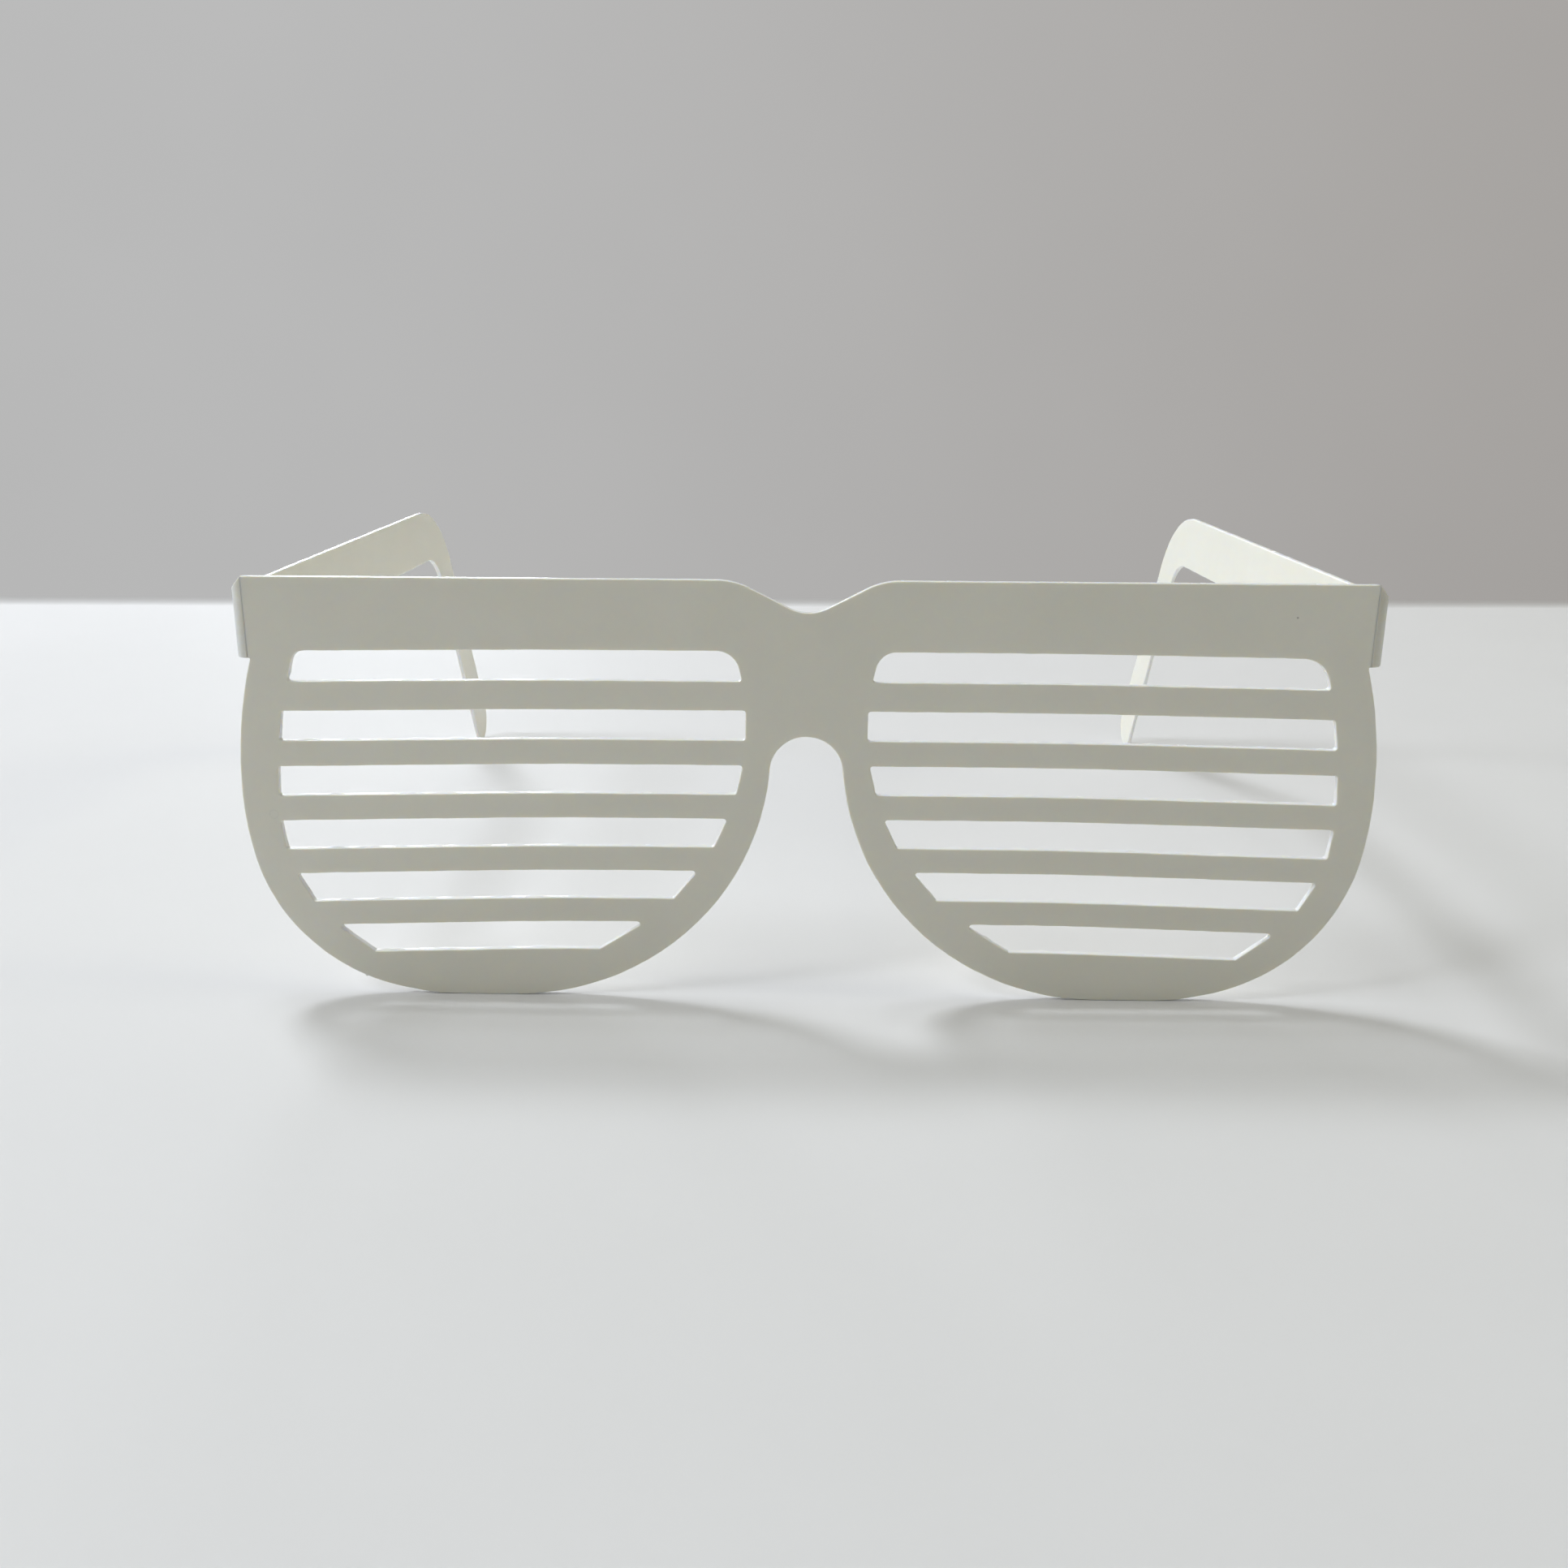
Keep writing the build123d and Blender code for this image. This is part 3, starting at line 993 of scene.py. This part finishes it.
def stage_sheet(name, profile, half_width, slant, material, count=9):
    """A profile of depths and levels carried straight across, its depth growing by the slant."""
    across = np.linspace(-half_width, half_width, count)
    depth = profile[:, :1] + slant * across
    level = profile[:, 1:] + 0 * across
    points = np.stack([across + 0 * depth, depth, level], axis=-1).reshape(-1, 3)
    here = np.arange(len(profile) - 1)[:, None] * count + np.arange(count - 1)
    quads = np.stack([here, here + 1, here + count + 1, here + count], axis=-1).reshape(-1, 4)
    mesh = bpy.data.meshes.new(name)
    mesh.from_pydata(points, [], quads.tolist())
    mesh.shade_smooth()
    mesh.materials.append(material)
    piece = bpy.data.objects.new(name, mesh)
    bpy.context.scene.collection.objects.link(piece)
    return piece


def placed(axes, place):
    """Matrix of an object by its three axes and its place."""
    matrix = np.eye(4)
    matrix[:3, :3] = np.stack(axes, axis=1)
    matrix[:3, 3] = place
    return Matrix(matrix.tolist())


def aim(place, target):
    """Matrix of a lamp at a place that shines at a target."""
    back = unit(np.subtract(place, target))
    side = unit(np.cross((0, 0, 1), back))
    return placed([side, np.cross(back, side), back], place)


def square_lamp(name, azimuth, elevation, watts, stage):
    """A large soft lamp. Its azimuth is counted in degrees from straight behind to the left."""
    turn, rise = np.radians((azimuth, elevation))
    way = np.array([-np.sin(turn) * np.cos(rise), np.cos(turn) * np.cos(rise), np.sin(rise)])
    lamp = bpy.data.lights.new(name, "AREA")
    lamp.size = stage.lamp_size
    lamp.energy = watts
    lamp.color = stage.warm if name == "right" else stage.daylight
    piece = bpy.data.objects.new(name, lamp)
    piece.matrix_world = aim(way * stage.lamp_distance, (0, 0, FRONT_HEIGHT / 2))
    bpy.context.scene.collection.objects.link(piece)


# The camera, measured in the photograph: a square picture, turned and tilted, from above the brow
CAMERA_YAW = np.radians(-0.565)
CAMERA_PITCH = np.radians(16.424)
CAMERA_ROLL = np.radians(0.377)
CAMERA_PLACE = np.array([-1.14, -190.96, 88.25]) * MM + (0, FRONT_Y, 0)
SENSOR_WIDTH = 36.0
LENS = 33.224
NEAREST_SEEN = 5 * MM

# Directions of the lamps: degrees from straight behind to the left, and above the table
LAMPS = (
    ("window", 47, 60),
    ("top", 60, 80),
    ("left", 100, 25),
    ("side", 122, 45),
    ("right", 264, 35),
    ("back", 18, 15),
)

# How far the table runs each way, and the points of the cove between it and the wall
STAGE_REACH = 3.0
COVE_POINTS = 9


def place_camera():
    """The camera's axes: forward from yaw and pitch, then its side and down turned by the roll."""
    level = np.array([np.sin(CAMERA_YAW), np.cos(CAMERA_YAW), 0]) * np.cos(CAMERA_PITCH)
    forward = level - (0, 0, np.sin(CAMERA_PITCH))
    side = np.array([np.cos(CAMERA_YAW), -np.sin(CAMERA_YAW), 0])
    down = np.cross(forward, side)
    right = side * np.cos(CAMERA_ROLL) - down * np.sin(CAMERA_ROLL)
    below = side * np.sin(CAMERA_ROLL) + down * np.cos(CAMERA_ROLL)
    lens = bpy.data.cameras.new("camera")
    lens.sensor_width = SENSOR_WIDTH
    lens.lens = LENS
    lens.clip_start = NEAREST_SEEN
    camera = bpy.data.objects.new("camera", lens)
    camera.matrix_world = placed([right, -below, -forward], CAMERA_PLACE)
    bpy.context.scene.collection.objects.link(camera)
    bpy.context.scene.camera = camera


class GLASSES_OT_stage(Operator):
    """Pale table, grey wall, soft lamps and the camera"""

    bl_idname = "glasses.stage"
    bl_label = "Stage"

    def execute(self, context):
        """Builds the stage, its light and the camera."""
        stage = context.scene.glasses_stage
        far = np.array([(-STAGE_REACH, 0), (0, 0), (STAGE_REACH, 0)])
        stage_sheet("table", far, STAGE_REACH, 0, table_material(stage))
        bend = np.array([stage.wall_y - stage.cove, stage.cove])
        bend = bend + stage.cove * around(np.linspace(-np.pi / 2, 0, COVE_POINTS))
        wall_line = np.concatenate([bend, [(stage.wall_y, STAGE_REACH / 3)]])
        slant = np.tan(stage.wall_turn)
        wall = stage_sheet("wall", wall_line, STAGE_REACH / 2, slant, wall_material(stage))
        # The low lamp stands behind the wall: it lights the glasses and shows in their gloss
        wall.visible_shadow = False
        wall.visible_glossy = False
        for name, azimuth, elevation in LAMPS:
            square_lamp(name, azimuth, elevation, getattr(stage, name), stage)
        context.scene.world = room_world(stage)
        context.scene.view_settings.view_transform = "Standard"
        place_camera()
        return {"FINISHED"}


class GLASSES_PT_panel(Panel):
    """Lists the steps in the sidebar"""

    bl_idname = "GLASSES_PT_panel"
    bl_label = "Glasses"
    bl_space_type = "VIEW_3D"
    bl_region_type = "UI"
    bl_category = "Glasses"

    def draw(self, context):
        """One button for each step."""
        for step in STEPS:
            self.layout.operator(step.bl_idname)


STEPS = (
    GLASSES_OT_front,
    GLASSES_OT_nub,
    GLASSES_OT_folds,
    GLASSES_OT_temples,
    GLASSES_OT_stage,
)


def register():
    """Adds the settings, the steps and the panel."""
    for kind in (*SETTINGS.values(), *STEPS, GLASSES_PT_panel):
        bpy.utils.register_class(kind)
    for name, kind in SETTINGS.items():
        setattr(bpy.types.Scene, name, PointerProperty(type=kind))


def unregister():
    """Takes them away again."""
    for name in SETTINGS:
        delattr(bpy.types.Scene, name)
    for kind in (GLASSES_PT_panel, *STEPS, *SETTINGS.values()):
        bpy.utils.unregister_class(kind)


def main():
    """Builds everything in order."""
    register()
    bpy.ops.glasses.front()
    bpy.ops.glasses.nub()
    bpy.ops.glasses.folds()
    bpy.ops.glasses.temples()
    bpy.ops.glasses.stage()


if __name__ == "__main__":
    main()
